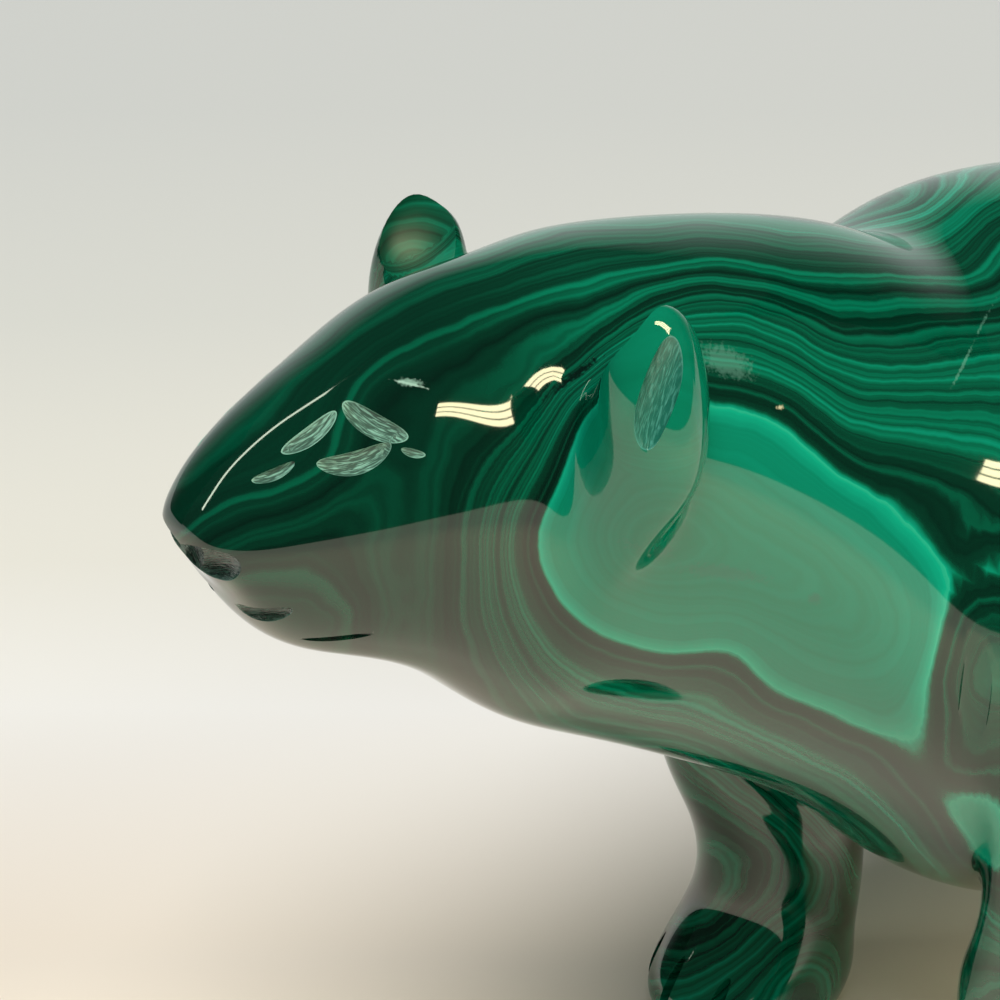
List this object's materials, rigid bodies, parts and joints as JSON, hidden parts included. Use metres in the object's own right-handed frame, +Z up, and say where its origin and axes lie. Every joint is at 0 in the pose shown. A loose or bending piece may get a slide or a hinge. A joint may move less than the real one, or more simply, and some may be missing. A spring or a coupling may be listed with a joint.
{
  "type": "malachite bear figurine",
  "caption": "Polished malachite carving of a standing bear, used as a desk or shelf ornament.",
  "frame": {"origin": "on the ground, under the middle of the bear's bounding box", "axes": "+Z up; the bear faces -X, with its left side toward -Y"},
  "size_m": [0.1592, 0.0564, 0.0895],
  "materials": {
    "polished_malachite": "malachite polished to a high gloss, in dark and light green bands, with a few wheel cuts left matte"
  },
  "bodies": {
    "root": {"bear": "polished_malachite"}
  },
  "joints": []
}
